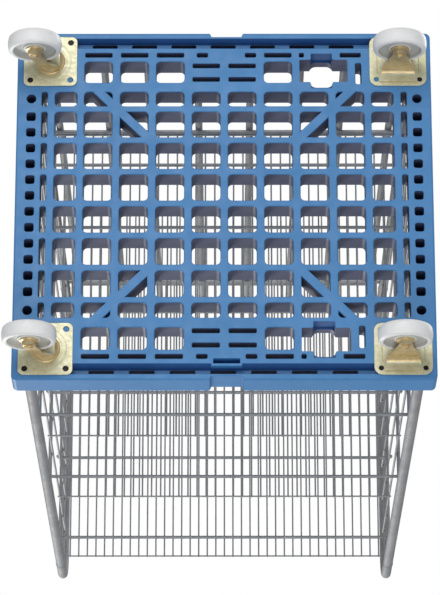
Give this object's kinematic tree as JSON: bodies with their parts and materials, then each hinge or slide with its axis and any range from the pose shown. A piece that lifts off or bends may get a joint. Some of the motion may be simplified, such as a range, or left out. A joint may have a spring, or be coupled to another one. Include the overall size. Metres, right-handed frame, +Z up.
{
  "type": "roll cage container",
  "caption": "Open-fronted roll cage container: moulded deck on swivel and fixed castors, tubular side frames, wire grilles and lift-off wire shelves.",
  "frame": {"origin": "on the floor, under the middle of the overall footprint", "axes": "+Z up; -Y towards the open front; +X towards the swivel castors"},
  "size_m": [0.8296, 0.724, 1.7031],
  "materials": {
    "deck_plastic": "fine moulded satin",
    "plate_zinc": "yellow passivated zinc, satin",
    "fork_zinc": "yellow passivated zinc, satin",
    "wheel_nylon": "smooth white nylon",
    "tube_steel": "bright zinc plated tube",
    "wire_steel": "zinc plated wire"
  },
  "bodies": {
    "frame": {"deck": "deck_plastic", "swivel_front_plate": "plate_zinc", "swivel_front_pin": "fork_zinc", "swivel_back_plate": "plate_zinc", "swivel_back_pin": "fork_zinc", "fixed_front_plate": "plate_zinc", "fixed_front_fork": "fork_zinc", "fixed_front_axle": "fork_zinc", "fixed_back_plate": "plate_zinc", "fixed_back_fork": "fork_zinc", "fixed_back_axle": "fork_zinc", "post_right_front": "tube_steel", "post_right_back": "tube_steel", "hoop_right": "tube_steel", "grille_right": "wire_steel", "post_left_front": "tube_steel", "post_left_back": "tube_steel", "hoop_left": "tube_steel", "grille_left": "wire_steel", "back_tube_1": "tube_steel", "back_tube_2": "tube_steel", "back_tube_3": "tube_steel", "back_tube_4": "tube_steel", "back_tube_5": "tube_steel", "back_tube_6": "tube_steel", "back_tube_7": "tube_steel", "back_tube_8": "tube_steel", "back_rail_1": "wire_steel", "back_rail_2": "wire_steel", "back_rail_3": "wire_steel", "back_rail_4": "wire_steel", "back_rail_5": "wire_steel"},
    "swivel_front": {"swivel_front_fork": "fork_zinc", "swivel_front_axle": "fork_zinc"},
    "wheel_swivel_front": {"swivel_front_wheel": "wheel_nylon"},
    "wheel_fixed_front": {"fixed_front_wheel": "wheel_nylon"},
    "swivel_back": {"swivel_back_fork": "fork_zinc", "swivel_back_axle": "fork_zinc"},
    "wheel_swivel_back": {"swivel_back_wheel": "wheel_nylon"},
    "wheel_fixed_back": {"fixed_back_wheel": "wheel_nylon"},
    "shelf_low": {"shelf_low_mat": "wire_steel", "shelf_low_rod_1": "wire_steel", "shelf_low_rod_2": "wire_steel", "shelf_low_rod_3": "wire_steel", "shelf_low_rod_4": "wire_steel", "shelf_low_rod_5": "wire_steel"},
    "shelf_mid": {"shelf_mid_mat": "wire_steel", "shelf_mid_rod_1": "wire_steel", "shelf_mid_rod_2": "wire_steel", "shelf_mid_rod_3": "wire_steel", "shelf_mid_rod_4": "wire_steel", "shelf_mid_rod_5": "wire_steel"},
    "shelf_top": {"shelf_top_mat": "wire_steel", "shelf_top_rod_1": "wire_steel", "shelf_top_rod_2": "wire_steel", "shelf_top_rod_3": "wire_steel", "shelf_top_rod_4": "wire_steel", "shelf_top_rod_5": "wire_steel"}
  },
  "joints": [
    {"name": "swivel_front_turn", "type": "hinge", "parent": "frame", "child": "swivel_front", "pos_m": [0.33525, -0.3, 0.12], "axis": [0, 0, 1], "continuous": true},
    {"name": "wheel_swivel_front_spin", "type": "hinge", "parent": "swivel_front", "child": "wheel_swivel_front", "pos_m": [0.36225, -0.3, 0.0525], "axis": [0, 1, 0], "continuous": true},
    {"name": "wheel_fixed_front_spin", "type": "hinge", "parent": "frame", "child": "wheel_fixed_front", "pos_m": [-0.34975, -0.3, 0.0525], "axis": [0, 1, 0], "continuous": true},
    {"name": "swivel_back_turn", "type": "hinge", "parent": "frame", "child": "swivel_back", "pos_m": [0.33525, 0.3, 0.12], "axis": [0, 0, 1], "continuous": true},
    {"name": "wheel_swivel_back_spin", "type": "hinge", "parent": "swivel_back", "child": "wheel_swivel_back", "pos_m": [0.36225, 0.3, 0.0525], "axis": [0, 1, 0], "continuous": true},
    {"name": "wheel_fixed_back_spin", "type": "hinge", "parent": "frame", "child": "wheel_fixed_back", "pos_m": [-0.34975, 0.3, 0.0525], "axis": [0, 1, 0], "continuous": true},
    {"name": "shelf_low_lift", "type": "slide", "parent": "frame", "child": "shelf_low", "axis": [0, 0, 1], "range_m": [0, 0.03]},
    {"name": "shelf_mid_lift", "type": "slide", "parent": "frame", "child": "shelf_mid", "axis": [0, 0, 1], "range_m": [0, 0.03]},
    {"name": "shelf_top_lift", "type": "slide", "parent": "frame", "child": "shelf_top", "axis": [0, 0, 1], "range_m": [0, 0.03]}
  ]
}
